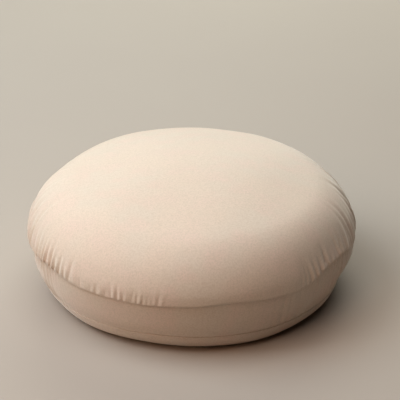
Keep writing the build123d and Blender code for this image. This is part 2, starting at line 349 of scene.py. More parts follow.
# Where the lumps come in: degrees round from the zip's middle, above and below it, and out from the axis.
# The crown has shallow waves of its own.
zip_even_degrees = (53, 64)
zip_even_heights = (22 * mm, 38 * mm)
lump_radii = (160 * mm, 240 * mm)
crown_heights = (120 * mm, 200 * mm)
smallest_radius = 50 * mm


def slack(radius, angle, height):
    """How far cloth near the top seam stands out from where an even seam would draw it."""
    drawn_in = np.clip(overall_radius - radius, 0, slack_most)
    beside = between((angle - 90) % 360 + 90, slack_comes, slack_goes)
    return slack_share * drawn_in * beside * bell((height - top_seam_height) / slack_height_spread)


def clear_of_zip(angle, height):
    """0 along the zip, where the slider needs an even track, and 1 away from it."""
    beside = ramp(np.abs(turn_from(angle, 90)), *zip_even_degrees)
    above = ramp(np.abs(height - zip_height), *zip_even_heights)
    return np.maximum(beside, above)


def settled(points):
    """Where points of the evenly round cushion lie once it is filled by hand."""
    x, y, z = points[..., 0], points[..., 1], points[..., 2]
    radius = np.hypot(x, y)
    angle = np.degrees(np.arctan2(y, x))
    out = up = 0 * z
    for azimuth, azimuth_spread, height, height_spread, move_out, move_up in lumps:
        share = near(angle, azimuth, azimuth_spread) * bell((z / mm - height) / height_spread)
        out = out + share * move_out
        up = up + share * move_up
    let_out = slack(radius, angle, z) / mm
    out = out + let_out
    up = up + slack_lift * let_out
    free = clear_of_zip(angle, z) * ramp(radius, *lump_radii)
    grown = 1 + mm * out * free / np.maximum(radius, smallest_radius)
    crown = 0.8 * np.sin(17 * x + 9 * y + 0.5) + 0.6 * np.sin(-11 * x + 21 * y + 2.1)
    crown += 0.6 * np.sin(31 * x - 13 * y + 4.0) - 1.0
    lifted = mm * (up * free + crown * ramp(z, *crown_heights))
    return np.stack([x * grown, y * grown, z + lifted], -1)


# The cloth solver

upper_distances = graded(upper_reach, first_step, upper_growth, upper_last_step)
base_reach = at_corner_end - at_bottom_seam - base_margin
base_distances = graded(base_reach, first_step, base_growth, base_last_step)
band_length = at_bottom_seam - at_top_seam
row_lengths = np.concatenate(
    [
        (at_top_seam - upper_distances)[::-1],
        at_top_seam + band_length * np.arange(1, band_rows + 1) / band_rows,
        (at_bottom_seam + base_distances)[1:],
    ]
)
top_row = len(upper_distances) - 1
bottom_row = top_row + band_rows
row_count = len(row_lengths)
to_seam = np.minimum(np.abs(row_lengths - at_top_seam), np.abs(row_lengths - at_bottom_seam))
even_cloth = turned(section_at(row_lengths), azimuths).astype(np.float32)
outward = turned(section_normals(row_lengths), azimuths).astype(np.float32)

# Puckers where the cloth is eased on to a seam: the first and last azimuth in degrees, then how far apart
# they are, how far they reach from the seam and how deep they are, in millimetres
top_puckers = [
    (230, 259, 9.5, 34, 9.0),
    (199, 226, 11, 66, 9.5),
    (150, 198, 14, 115, 14.0),
    (270, 302, 24, 40, 1.5),
    (310, 338, 11, 62, 20.0),
    (341, 398, 13, 95, 15.0),
    (46, 84, 14, 60, 3.0),
    (95, 140, 15, 70, 3.0),
]
band_puckers = [
    (186, 216, 13, 60, 3.5),
    (300, 312, 15, 55, 4.0),
    (316, 340, 11, 60, 4.5),
    (352, 375, 13, 50, 1.6),
]
base_puckers = [
    (218, 250, 15, 22, 0.6),
    (290, 330, 16, 22, 0.6),
    (350, 390, 18, 25, 0.8),
    (100, 190, 18, 25, 0.8),
]
pucker_start = 9 * mm  # the panel's own puckers start above its rolled edge
pucker_rise = 5 * mm
# No two puckers are alike: each draws its sizes, width and spacing, as shares of its group's, and its slant,
# in degrees for each metre
pucker_sizes = (0.6, 1.2)
pucker_widths = (0.24, 0.36)
pucker_spacings = (0.7, 1.35)
pucker_slants = (-25, 25)
pucker_end_size = 0.45  # a group's first and last pucker, beside its middle one
pucker_cut = 1.6  # where it has faded, in its own reach
pucker_fade = 1.8
pucker_spread = 0.9
pucker_steepness = 1.5
pucker_ridge = 0.4  # the fold beside a valley, as a share of its depth
ridge_offset = 1.4  # and how far out it is, in the valley's widths
broad_length = 22 * mm  # longer waves are partly taken out, so that puckers add no bulge
broad_share = 0.7
ease_all_round = 0.012  # the least extra length, next to the seams
ease_at_puckers = 0.03
ease_width = 0.625  # how far it spreads round from a group's middle, in the group's widths
ease_reach = 30 * mm

# The solver's steps, and the shares of each error that a step puts right; then the ripples it starts from
relax_steps = 60
bend_around = 0.0015
bend_along = 0.02
push_out = 0.002
pull_in = 0.001
seam_stiffness = 0.03
seam_hold = 0.15
shear_share = 0.35
start_ripple = 0.08 * mm
ripple_length = 12 * mm
ripple_range = 0.5
ripple_passes = 30

# How many rows and columns away from a valley the cloth behind it is sunk as well
behind_rows = 3
behind_columns = 8


def valleys(distance, groups, seed, start=0.0):
    """Puckers as valleys from a seam. Distance is each row's from it, below 0 beyond it."""
    chance = np.random.default_rng(seed)
    field = np.zeros((row_count, columns))
    radius = np.hypot(even_cloth[:, 0, 0], even_cloth[:, 0, 1])
    for first, last, spacing, reach, depth in groups:
        azimuth = first
        while azimuth <= last:
            place = (azimuth - first) / (last - first)
            fullness = pucker_end_size + (1 - pucker_end_size) * sin(pi * place)
            size = depth * mm * fullness * chance.uniform(*pucker_sizes)
            own_reach = reach * mm * chance.uniform(*pucker_sizes)
            width = spacing * mm * chance.uniform(*pucker_widths)
            slant = chance.uniform(*pucker_slants)
            rows = (distance > 0) & (distance < pucker_cut * own_reach)
            away = distance[rows][:, None]
            turn = turn_from(azimuth_degrees - azimuth - slant * away, 0)
            beside = np.radians(turn) * radius[rows][:, None]
            fade = ramp(away, start, start + pucker_rise) * np.exp(-pucker_fade * (away / own_reach) ** 2)
            across = beside / (width * (1 + pucker_spread * away / own_reach))
            field[rows] -= size * fade * np.exp(-np.abs(across) ** pucker_steepness)
            field[rows] += pucker_ridge * size * fade * bell(across - ridge_offset)
            azimuth += np.degrees(spacing * mm / top_seam_radius) * chance.uniform(*pucker_spacings)
    return field


def filtered(field, weigh):
    """A field with its waves around the cushion weighed by their length in metres."""
    waves = np.fft.rfft(field, axis=1)
    count = np.maximum(np.arange(waves.shape[1]), 1)
    return np.fft.irfft(waves * weigh(2 * pi * top_seam_radius / count), columns, axis=1)


def puckers():
    """How far the cloth starts out from its even shape: the puckers, and small ripples all over."""
    above, below = at_top_seam - row_lengths, row_lengths - at_bottom_seam
    field = valleys(above, top_puckers, 5, pucker_start) + valleys(below, base_puckers, 6)
    inside_band = band_length - np.abs(-above - 0.5 * band_length) - 0.5 * band_length
    on_band = valleys(inside_band, band_puckers, 8)
    field += on_band * ((above < 0) & (below < 0))[:, None]
    broad = filtered(field, lambda length: bell(broad_length / length))
    ripple = np.random.default_rng(7).standard_normal((row_count, columns))
    ripple = filtered(ripple, lambda length: bell(np.log(length / ripple_length) / ripple_range))
    for _ in range(ripple_passes):
        ripple[1:-1] = (ripple[2:] + ripple[:-2] + 2 * ripple[1:-1]) / 4
    ripple *= (start_ripple / ripple.std() * np.exp(-to_seam / ease_reach))[:, None]
    return field - broad_share * broad + ripple


def extra_cloth():
    """How much longer the cloth is around the cushion than the puckers that it starts with."""
    groups = [(first, last) for first, last, *_ in top_puckers]
    gathered = sum(near(azimuth_degrees, (a + b) / 2, ease_width * (b - a)) for a, b in groups)
    fade = np.exp(-to_seam / ease_reach) * np.clip(to_seam / pucker_rise, 0, 1)
    return fade[:, None] * (ease_all_round + ease_at_puckers * np.clip(gathered, 0, 1))


def draw_together(first, second, rest, share=1.0):
    """Moves two arrays of points along their joining lines, towards a rest length."""
    gap = second - first
    length = np.sqrt(np.einsum("...i,...i->...", gap, gap))
    step = (np.float32(0.5 * share) * (length - rest) / length)[..., None] * gap
    first += step
    second -= step


def draw_around(cloth, rest):
    """Keeps the length of the cloth from each column to the next."""
    draw_together(cloth[:, 0::2], cloth[:, 1::2], rest[:, 0::2])
    following = np.roll(cloth[:, 0::2], -1, 1)
    draw_together(cloth[:, 1::2], following, rest[:, 1::2])
    cloth[:, 0::2] = np.roll(following, 1, 1)


def row_pairs():
    """Slices that pair each even row with the next, then each odd one, and the slice of what joins them."""
    for start in (0, 1):
        end = start + 2 * ((row_count - start) // 2)
        yield slice(start, end, 2), slice(start + 1, end, 2), slice(start, end - 1, 2)


def draw_along(cloth, rest):
    """Keeps the length of the cloth from each row to the next."""
    for upper, lower, joint in row_pairs():
        draw_together(cloth[upper], cloth[lower], rest[joint])


def draw_across(cloth, rest):
    """Keeps the length of the diagonals, so the weave shears little."""
    for upper, lower, joint in row_pairs():
        for turn, wanted in ((-1, rest[joint]), (1, np.roll(rest[joint], 1, 1))):
            beside = np.roll(cloth[lower], turn, 1)
            draw_together(cloth[upper], beside, wanted, shear_share)
            cloth[lower] = np.roll(beside, -turn, 1)


def relaxed_cloth():
    """The cloth once it has its length, its bends are smooth and the filling holds it out."""
    cloth = even_cloth + outward * puckers()[..., None].astype(np.float32)
    around = np.linalg.norm(np.roll(cloth, -1, 1) - cloth, axis=-1) * (1 + extra_cloth())
    around = around.astype(np.float32)
    along = np.linalg.norm(np.diff(even_cloth, axis=0), axis=-1)
    across = np.hypot((around[1:] + around[:-1]) / 2, along).astype(np.float32)
    stiffness = np.full((row_count, 1, 1), bend_around, np.float32)
    for row in (top_row, bottom_row):
        stiffness[row - 1 : row + 2] = seam_stiffness
    for step in range(relax_steps):
        draw_around(cloth, around)
        draw_along(cloth, along)
        if step % 2 == 0:
            draw_across(cloth, across)
        moved = cloth - even_cloth
        bend = np.roll(moved, -1, 1) + np.roll(moved, 1, 1) - 2 * moved
        moved -= stiffness * (np.roll(bend, -1, 1) + np.roll(bend, 1, 1) - 2 * bend)
        moved[1:-1] += np.float32(bend_along) * (moved[2:] + moved[:-2] - 2 * moved[1:-1])
        height = np.einsum("...i,...i->...", moved, outward)
        back = np.where(height < 0, -push_out * height, -pull_in * height).astype(np.float32)
        for row in (top_row, bottom_row):
            back[row] -= seam_hold * height[row]
        moved += back[..., None] * outward
        moved[[0, -1]] = 0
        cloth = even_cloth + moved
    return cloth.astype(float)


cloth = relaxed_cloth()


def lowest_nearby(field, reach, axis):
    """The least value of a field within a number of steps along one axis."""
    return np.min([np.roll(field, step, axis) for step in range(-reach, reach + 1)], axis=0)


def cloth_behind():
    """The even cloth, sunk with the puckers, so that what is behind them stays behind."""
    depth = np.minimum(np.einsum("...i,...i->...", cloth - even_cloth, outward), 0)
    depth = lowest_nearby(lowest_nearby(depth, behind_rows, 0), behind_columns, 1)
    return even_cloth + outward * depth[..., None]


backing = cloth_behind()


def cloth_at(row, column, field=cloth):
    """The cloth, or another grid like it, between its rows and columns."""
    low = np.clip(np.floor(row).astype(int), 0, row_count - 2)
    row_share = (row - low)[:, None, None]
    left = np.floor(column).astype(int)
    column_share = (column - left)[None, :, None]
    left, right = left % columns, (left + 1) % columns

    def line(rows):
        return field[rows][:, left] * (1 - column_share) + field[rows][:, right] * column_share

    return line(low) * (1 - row_share) + line(low + 1) * row_share


# Making meshes


def swept(sections):
    """A tube (sections, points, 3) or many (tubes, sections, points, 3), of even loops, with closed ends."""
    along, around = sections.shape[-3:-1]
    number = np.arange(along * around).reshape(along, around)
    first, second = number[:-1], number[1:]
    sides = [first, np.roll(first, -1, 1), np.roll(second, -1, 1), second]
    walls = np.stack(sides, -1).reshape(-1, 4)
    j = np.arange(around // 2 - 1)
    start, end = number[0], number[-1]
    closing = np.stack([start[around - 1 - j], start[around - 2 - j], start[j + 1], start[j]], -1)
    ending = np.stack([end[j], end[j + 1], end[around - 2 - j], end[around - 1 - j]], -1)
    one = np.concatenate([walls, closing, ending])
    points = sections.reshape(-1, 3)
    tubes = np.arange(0, len(points), along * around)
    return points, [(one[None] + tubes[:, None, None]).reshape(-1, 4)]


def ring_faces(first, second):
    """Faces between two rings of vertex numbers: equal ones, one twice the other, or a pole."""
    if len(first) == 1:
        return [np.stack([np.repeat(first, len(second)), np.roll(second, -1), second], 1)]
    if len(first) == len(second):
        return [np.stack([first, np.roll(first, -1), np.roll(second, -1), second], 1)]
    if len(first) == 2 * len(second):
        even, odd, after = first[0::2], first[1::2], np.roll(first[0::2], -1)
        coarse, coarse_after = second, np.roll(second, -1)
        return [
            np.stack([even, odd, coarse], 1),
            np.stack([odd, coarse_after, coarse], 1),
            np.stack([odd, after, coarse_after], 1),
        ]
    return [face[:, ::-1] for face in ring_faces(second, first)]


def lofted(rings):
    """Points and faces of a closed surface through rings; without poles, the last ring joins the first."""
    starts = np.concatenate([[0], np.cumsum([len(ring) for ring in rings])])
    numbers = [np.arange(low, high) for low, high in zip(starts[:-1], starts[1:])]
    if len(rings[0]) > 1:
        numbers.append(numbers[0])
    faces = [face for pair in zip(numbers[:-1], numbers[1:]) for face in ring_faces(*pair)]
    return np.concatenate(rings), faces


def facing_out(points, faces):
    """The faces of a closed surface, all turned over if they face inwards."""
    volume = 0.0
    for group in faces:
        for k in range(1, group.shape[1] - 1):
            a, b, c = points[group[:, 0]], points[group[:, k]], points[group[:, k + 1]]
            volume += np.einsum("ij,ij->", a, np.cross(b, c))
    return faces if volume > 0 else [group[:, ::-1] for group in faces]


def added(name, data):
    """A new object in the scene."""
    item = bpy.data.objects.new(name, data)
    bpy.context.scene.collection.objects.link(item)
    return item


def make_piece(name, shape, slot):
    """Makes a piece of the cushion from points and faces. It stands for the CAD node of its name."""
    points, faces = shape
    faces = facing_out(points, faces)
    mesh = bpy.data.meshes.new(name)
    mesh.from_pydata(points.tolist(), [], [face for group in faces for face in group.tolist()])
    mesh.shade_smooth()
    mesh.materials.append(materials[slot])
    piece = added(name + "_made", mesh)
    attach(piece, "cushion")
    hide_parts(name)
    return piece


# The cover

edge_steps = mm * np.array([0, 0.1, 0.25, 0.45, 0.7, 1.0, 1.4])
ridge_place = 1.5 * mm
ridge_width = 1.1 * mm
ridge_height = 0.9 * mm
roll_depth = 1.3 * mm
roll_width = 0.9 * mm
bottom_ridge = 0.6 * mm  # the band's own ridge beside the bottom seam
groove_depth = 3.5 * mm  # the band turns in under the top panel's edge
groove_width = 5 * mm
fine_reach = 32 * mm  # the rings have all the columns up to this distance from a seam
puckered_reach = 100 * mm  # and half of them up to this one
inner_columns = columns // 8
inner_row_step = 3
fewest_points = 18  # in a ring
closest_points = 3.2 * mm
closest_bag_points = 3 * mm
closest_rows = 0.3 * mm
closest_columns = 0.2  # of a column


def seam_edge(distance, ridge=ridge_height, roll=roll_depth, width=roll_width):
    """How far cloth stands out near a seam: a soft ridge, then a roll in to the stitches."""
    lifted = ridge * bell((distance - ridge_place) / ridge_width)
    return lifted - roll * np.clip(1 - distance / width, 0, 1) ** 2


def halved(count, radius, closest):
    """A ring's number of points, halved until they are far enough apart."""
    while count > fewest_points and 2 * pi * radius / count < closest:
        count //= 2
    return count


def ring_counts(distances, radii):
    """Each ring's number of points, from the seam inwards: fewer where the cloth is smooth."""
    counts, count = [], columns
    for distance, radius in zip(distances, radii):
        coarser = 1 if distance < fine_reach else 2 if distance < puckered_reach else 4
        count = max(halved(columns // coarser, radius, closest_points / 2), count // 2)
        counts.append(count)
    return counts


def turned_in_edge(side):
    """Rings of a panel's seam allowance, in behind the band, round its raw edge and back."""
    rings = []
    for thickness, way in ((0, 1), (velvet, -1)):
        places = np.array([layer_gap + thickness, *allowance_rows, -seam_allowance])
        line = band_point(allowance_depth + thickness, side * (half_band + places))
        rings += list(turned(line, azimuths))[::way]
    steps = [2, 4] + [columns // inner_columns] * (len(rings) - 2)
    return [ring[::step] for ring, step in zip(rings, steps)]


def panel(seam_row, way, middle_lengths):
    """The top panel (way -1) or the bottom one (way 1): a shell with its edge turned in behind the band."""
    seam_length = row_lengths[seam_row]
    rows = np.arange(seam_row + way, -1 if way < 0 else row_count, way)
    normal = outward[seam_row + way]
    step = abs(row_lengths[seam_row + way] - seam_length)
    outer = []
    for distance in edge_steps:
        share = distance / step
        line = cloth[seam_row] * (1 - share) + cloth[seam_row + way] * share
        outer.append(line + normal * seam_edge(distance))
    for row in rows:
        outer.append(cloth[row] + outward[row] * seam_edge(abs(row_lengths[row] - seam_length)))
    distances = list(edge_steps) + [abs(row_lengths[row] - seam_length) for row in rows]
    radii = [np.hypot(ring[0, 0], ring[0, 1]) for ring in outer]
    counts = ring_counts(distances, radii)
    outer = [ring[:: columns // count] for ring, count in zip(outer, counts)]
    inner_rows = [row for row in rows[2:] if row % inner_row_step == 0]
    inner = [(backing[row] - outward[row] * velvet)[:: columns // inner_columns] for row in inner_rows]
    outer += middle_rings(middle_lengths, 0, counts[-1])
    inner += middle_rings(middle_lengths, velvet, inner_columns)
    return lofted([settled(ring) for ring in outer[::-1] + turned_in_edge(-way) + inner])


def middle_rings(lengths, depth, count):
    """Rings of a panel's smooth middle, from its edge to its pole."""
    points = section_at(lengths) - section_normals(lengths) * depth
    closest = closest_points * (2 if depth else 1)
    rings = []
    for r, z in points[:-1]:
        count = max(halved(count, r, closest), count // 2)
        rings.append(around_axis(r, z, full_turn(count)))
    rings.append(np.array([[0, 0, points[-1][1]]]))
    return rings


def strip_rows(low, high):
    """A strip's rows, as distances up the band: the cloth's own, and close ones at its edges."""
    own = half_band - np.arange(1, band_rows) * band_length / band_rows
    margin = edge_steps[-1] + closest_rows
    own = own[(own > low + margin) & (own < high - margin)]
    return np.concatenate([low + edge_steps, own[::-1], (high - edge_steps)[::-1]])


def strip_columns(start, sweep):
    """A strip's columns, with fractions: the cloth's own, and close ones at its ends."""
    scale = columns / (2 * pi)
    ends = edge_steps / zip_radius * scale
    first, last = start * scale, (start + sweep) * scale
    margin = ends[-1] + closest_columns
    own = np.arange(np.ceil(first + margin), np.floor(last - margin) + 1, band_column_step)
    return np.concatenate([first + ends, own, (last - ends)[::-1]])


def band_strip(low, high, start, sweep, end_hem):
    """A strip of the side band between two places along it, hemmed at a seam, at the zip and at its ends."""
    at_bottom, at_top = low < mm - half_band, high > half_band - mm
    low_hem = seam_allowance if at_bottom else zip_turn_under
    high_hem = seam_allowance if at_top else zip_turn_under
    low_edge = (bottom_ridge,) if at_bottom else (0,)
    high_edge = (0, groove_depth, groove_width) if at_top else (0,)
    along = strip_rows(low, high)
    column = strip_columns(start, sweep)
    row = top_row + (half_band - along) / band_length * band_rows
    # The normals of the rows next to the seams, because a seam's own row lies in the fold
    normal = cloth_at(np.clip(row, top_row + 1, bottom_row - 1), column, outward)
    azimuth = column * 2 * pi / columns
    from_end = np.minimum(azimuth - start, start + sweep - azimuth) * zip_radius
    raised = seam_edge(along - low, *low_edge)[:, None] + seam_edge(high - along, *high_edge)[:, None]
    raised = raised + seam_edge(from_end, 0)[None, :]
    outer = cloth_at(row, column) + normal * raised[..., None]
    hemmed = (along - low < low_hem) | (high - along < high_hem)
    hemmed = hemmed[:, None] | (from_end < end_hem)[None, :]
    depth = np.where(hemmed, hem_depth, velvet)
    even = turned(band_point(0, along), azimuth)
    inner = np.where(hemmed[..., None], even, cloth_at(row, column, backing)) - normal * depth[..., None]
    return swept(settled(np.concatenate([outer, inner[::-1]]).transpose(1, 0, 2)))


def front_band():
    """The plain strip round the front and sides."""
    start = panel_start + panel_sweep + join_gap / 2
    sweep = 2 * pi - panel_sweep - join_gap
    return band_strip(-half_band, half_band, start, sweep, seam_allowance)


def zip_band(side):
    """One strip of the zip panel, above (side 1) or below (side -1) the zip."""
    low, high = sorted((side * zip_slot_half_width, side * half_band))
    return band_strip(low, high, panel_start + join_gap / 2, panel_sweep - join_gap, 0)


# Threads, zip and label


def strand(path, radius, sides, reference):
    """A round strand along each path (..., points, 3). The reference direction is never along the path."""
    tangent = np.gradient(path, axis=-2)
    across = unit(np.cross(tangent, reference))
    lift = unit(np.cross(across, tangent))
    turn = full_turn(sides)
    circle = across[..., None, :] * np.cos(turn)[:, None] + lift[..., None, :] * np.sin(turn)[:, None]
    return swept(path[..., None, :] + radius * circle)


def band_strand(depth, along, azimuth, radius, sides=6, turn=0):
    """A strand at depths, places along the band and azimuths. Turn is from the hoop to its reference."""
    points = band_point(depth, along) + 0 * azimuth[..., None]
    path = settled(around_axis(points[..., 0], points[..., 1], azimuth))
    hoop = np.stack([-np.sin(azimuth + turn), np.cos(azimuth + turn), 0 * azimuth], -1)
    return strand(path, radius, sides, hoop)


def stitched_ring(r, z, start=0.0, sweep=2 * pi):
    """A row of lockstitch around the cushion at (r, z): it dips in and out once a stitch."""
    count = int(sweep * r / seam_stitch * points_per_stitch)
    dipped = r - stitch_dip * np.sin(np.arange(count) * 2 * pi / points_per_stitch)
    path = settled(around_axis(dipped, z, np.linspace(start, start + sweep, count)))
    return strand(path, thread_radius, 6, np.array([0.0, 0.0, 1.0]))


def seam_thread(along):
    """The row that joins a panel to the side band, at a distance up the band from its middle."""
    return stitched_ring(*band_point(hem_depth + layer_gap / 2, along))


def overlock(along):
    """The edging wound over the raw edges inside a seam."""
    turns = int(2 * pi * zip_radius / overlock_pitch)
    phase = np.linspace(0, 2 * pi * turns, turns * 8)
    azimuth = phase / turns
    depth = hem_depth + layer_gap / 2 + overlock_turn_radius * np.cos(phase)
    along = along + overlock_turn_radius * np.sin(phase)
    return band_strand(depth, along, azimuth, overlock_thread_radius, sides=4)


def join_threads():
    """The two upright rows that join the front band's ends to the zip panel's."""
    along = np.linspace(-1, 1, 60) * (half_band - seam_row_inset)
    azimuth = np.array([[panel_start], [panel_start + panel_sweep]]) + 0 * along
    return band_strand(velvet, along, azimuth, thread_radius)


def topstitch(side):
    """Single stitches, each proud in its middle and sunk in the cloth at its ends."""
    pitch = topstitch_length + topstitch_gap
    count = int((panel_sweep * zip_radius - 2 * topstitch_margin) / pitch)
    middle = back_azimuth + (np.arange(count) - (count - 1) / 2) * pitch / zip_radius
    share = np.linspace(-0.5, 0.5, 6)
    azimuth = middle[:, None] + share * topstitch_length / zip_radius
    sunk = topstitch_sink * np.abs(2 * share) ** 3 - topstitch_proud
    row = side * (zip_slot_half_width + topstitch_from_fold)
    return band_strand(sunk, row, azimuth, topstitch_radius, turn=pi / 2)


def tape(side):
    """A woven tape, flat behind the band's fold."""
    low, high = sorted((side * tape_half_gap, side * tape_outer_edge))
    along = np.linspace(low, high, 13)
    azimuth = np.linspace(panel_start + join_gap, panel_start + panel_sweep - join_gap, 361)
    outer = turned(band_point(tape_depth, along), azimuth)
    inner = turned(band_point(tape_depth + tape_thickness, along), azimuth)
    return swept(settled(np.concatenate([outer, inner[::-1]]).transpose(1, 0, 2)))


def squared_off(wave):
    """A wave between -1 and 1 with flatter tops."""
    return np.sign(wave) * np.abs(wave) ** coil_squareness


def coil(side):
    """One side's coil, as long as the CAD model's: flattened turns, half a pitch from the other side's."""
    points = np.array([vertex.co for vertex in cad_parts["zip_coil_upper"].data.vertices])
    angle = np.arctan2(points[:, 1], points[:, 0])
    start, end = angle.min(), angle.max()
    turns = int((end - start) * zip_radius / coil_pitch) - 1
    phase = np.arange(turns * coil_turn_points + 1) * 2 * pi / coil_turn_points
    azimuth = start + (phase / (2 * pi) + (0.75 if side > 0 else 0.25)) * coil_pitch / zip_radius
    half_width = (coil_half_width + coil_overlap) / 2 - coil_wire_radius
    middle = coil_half_width - coil_wire_radius - half_width
    half_depth = (tape_depth - coil_top_depth) / 2 - coil_wire_radius
    along = side * (middle - half_width * squared_off(np.cos(phase)))
    depth = (tape_depth + coil_top_depth) / 2 - half_depth * squared_off(np.sin(phase))
    return band_strand(depth, along, azimuth, coil_wire_radius)


def care_label():
    """A blank ribbon folded in two, sewn in at the bottom seam, hanging a little away from the base."""
    outside = bottom_seam_radius + label_stand_off
    fold = label_fold_radius
    bottom = bottom_seam_height - label_drop
    drop = np.linspace(bottom_seam_height, bottom + fold, 24)
    front = np.stack([outside + 0 * drop, drop], 1)
    bend = arc((outside - fold, bottom + fold), fold, 0, -pi, 9)[1:-1]
    back = np.stack([outside - 2 * fold + 0 * drop, drop], 1)[::-1]
    tucked = np.array([[outside - label_tuck, bottom_seam_height + label_tuck_rise]])
    line = np.concatenate([tucked, front, bend, back, tucked - [0, 2 * label_tuck_rise]])
    direction = unit(np.gradient(line, axis=0))
    side = np.stack([-direction[:, 1], direction[:, 0]], 1) * label_half_thickness
    loop = np.concatenate([line + side, (line - side)[::-1]])
    half = label_width / 2 / bottom_seam_radius
    azimuth = np.linspace(label_azimuth - half, label_azimuth + half, 25)
    sections = turned(loop, azimuth).transpose(1, 0, 2)
    hang = np.clip((bottom_seam_height - sections[..., 2]) / label_drop, 0, 1)
    curl = label_curl * hang**2 * (0.6 + np.cos(np.linspace(-2.2, 1.6, 25)))[:, None]
    radial = around_axis(1, 0, azimuth)[:, None, :]
    return swept(settled(sections + radial * curl[..., None]))


# The inner bag and its filling

# Where the bag goes deeper behind the band and behind the top panel's puckers, and comes up again
band_comes = (at_top_seam - 14 * mm, at_top_seam)
band_goes = (at_bottom_seam, at_bottom_seam + 14 * mm)
puckers_come = (at_top_seam - 155 * mm, at_top_seam - 105 * mm)
puckers_go = (at_top_seam - 10 * mm, at_top_seam)


def bag_section(depth):
    """The section of what the cover holds, from the crown to the base's middle."""
    along = np.linspace(0, section_lengths[-1], int(section_lengths[-1] / bag_point_gap))
    at_band = (bag_depth_at_band - bag_depth) * between(along, band_comes, band_goes)
    at_puckers = (bag_depth_at_puckers - bag_depth) * between(along, puckers_come, puckers_go)
    inward = depth + bag_depth + np.maximum(at_band, at_puckers)
    line = section_at(along) - section_normals(along, bag_normal_reach) * inward[:, None]
    line[[0, -1], 0] = 0
    line[:, 1] = np.minimum.accumulate(line[:, 1])
    return line


def bag_rings(section_points, crease, seed):
    """Rings of a section with shallow inward creases, of fewer points where small. The axis makes a pole."""
    turn = full_turn(inner_columns)
    field = np.random.default_rng(seed).standard_normal((len(section_points), inner_columns))
    for _ in range(6):
        field = (np.roll(field, 1, 1) + np.roll(field, -1, 1) + 2 * field) / 4
        field[1:-1] = (field[2:] + field[:-2] + 2 * field[1:-1]) / 4
    field = -np.abs(field) / np.abs(field).max() * crease
    change = unit(np.gradient(section_points, axis=0))
    rings = []
    for point, (dr, dz), inward in zip(section_points, change, field):
        if point[0] < 2 * mm:
            rings.append(np.array([[0, 0, point[1]]]))
            continue
        r, z = point[0] - dz * inward, point[1] + dr * inward
        ring = settled(around_axis(r, z, turn))
        count = halved(inner_columns, np.hypot(ring[0, 0], ring[0, 1]), closest_bag_points)
        rings.append(ring[:: inner_columns // count])
    return rings


def bag_piece(low, high):
    """The part of the inner bag's cloth between two heights."""
    layers = []
    for depth in (0, liner_cloth):
        line = bag_section(depth)
        rings = bag_rings(line[(line[:, 1] > low) & (line[:, 1] < high)], bag_crease, 11)
        layers.append(rings[::-1] if len(rings[-1]) == 1 else rings)
    return lofted(layers[0] + layers[1][::-1])


def bag_thread(height, start=0.0, sweep=2 * pi):
    """A seam's thread, round the inner bag at a height."""
    line = bag_section(liner_cloth / 2)
    return stitched_ring(np.interp(-height, -line[:, 1], line[:, 0]), height, start, sweep)


def fibre_fill():
    """The filling, in the shape that it holds inside the bag."""
    return lofted(bag_rings(bag_section(liner_cloth + fill_gap), fill_crease, 23))


# Materials


class Surface:
    """A material: a Principled shader with plain values on its sockets, and the nodes that feed it."""

    def __init__(self, name, colour, roughness, **values):
        self.material = bpy.data.materials.new(name)
        self.material.use_nodes = True
        self.tree = self.material.node_tree
        self.shader = next(node for node in self.tree.nodes if node.type == "BSDF_PRINCIPLED")
        self.feed(self.shader, base_color=colour, roughness=roughness, **values)
        self.place = self.tree.nodes.new("ShaderNodeTexCoord").outputs["Object"]

    def set(self, socket, value):
        """Links another node's output to a socket, or sets the socket's own value or colour."""
        if isinstance(value, bpy.types.NodeSocket):
            self.tree.links.new(value, socket)
        else:
            socket.default_value = (*value, 1) if socket.type == "RGBA" else value

    def feed(self, node, **values):
        """Sets a node's inputs by their names."""
        for name, value in values.items():
            self.set(node.inputs[name.replace("_", " ").title()], value)
        return node

    def node(self, kind, **values):
        """A new node, fed."""
        return self.feed(self.tree.nodes.new("ShaderNode" + kind), **values)

    def stretched(self, scale):
        """The object's coordinates, scaled by different amounts along its axes."""
        return self.node("Mapping", scale=scale, vector=self.place).outputs["Vector"]

    def noise(self, size, detail=2.0, place=None):
        """A noise whose features are about a size in metres."""
        return self.node("TexNoise", scale=1 / size, detail=detail, vector=place or self.place).outputs["Fac"]

    def eased(self, value, low, high):
        """A value stretched so that low becomes 0 and high becomes 1."""
        ease = self.node("MapRange", value=value, from_min=low, from_max=high)
        ease.interpolation_type = "SMOOTHSTEP"
        return ease.outputs["Result"]

    def blend(self, share, first, second):
        """A colour between two, each a colour or another node's output."""
        mix = self.node("Mix", factor=share)
        mix.data_type = "RGBA"
        sockets = [socket for socket in mix.inputs if socket.type == "RGBA"]
        for socket, value in zip(sockets, (first, second)):
            self.set(socket, value)
        return next(output for output in mix.outputs if output.type == "RGBA")

    def colour(self, share, first, second):
        """Gives the shader a colour between two."""
        self.feed(self.shader, base_color=self.blend(share, first, second))

    def bump(self, *heights):
        """Bumps on top of each other, each a value, its distance and its strength."""
        lower = {}
        for value, distance, strength in heights:
            bump = self.node("Bump", height=value, distance=distance, strength=strength, **lower)
            lower = {"normal": bump.outputs["Normal"]}
        self.feed(self.shader, **lower)


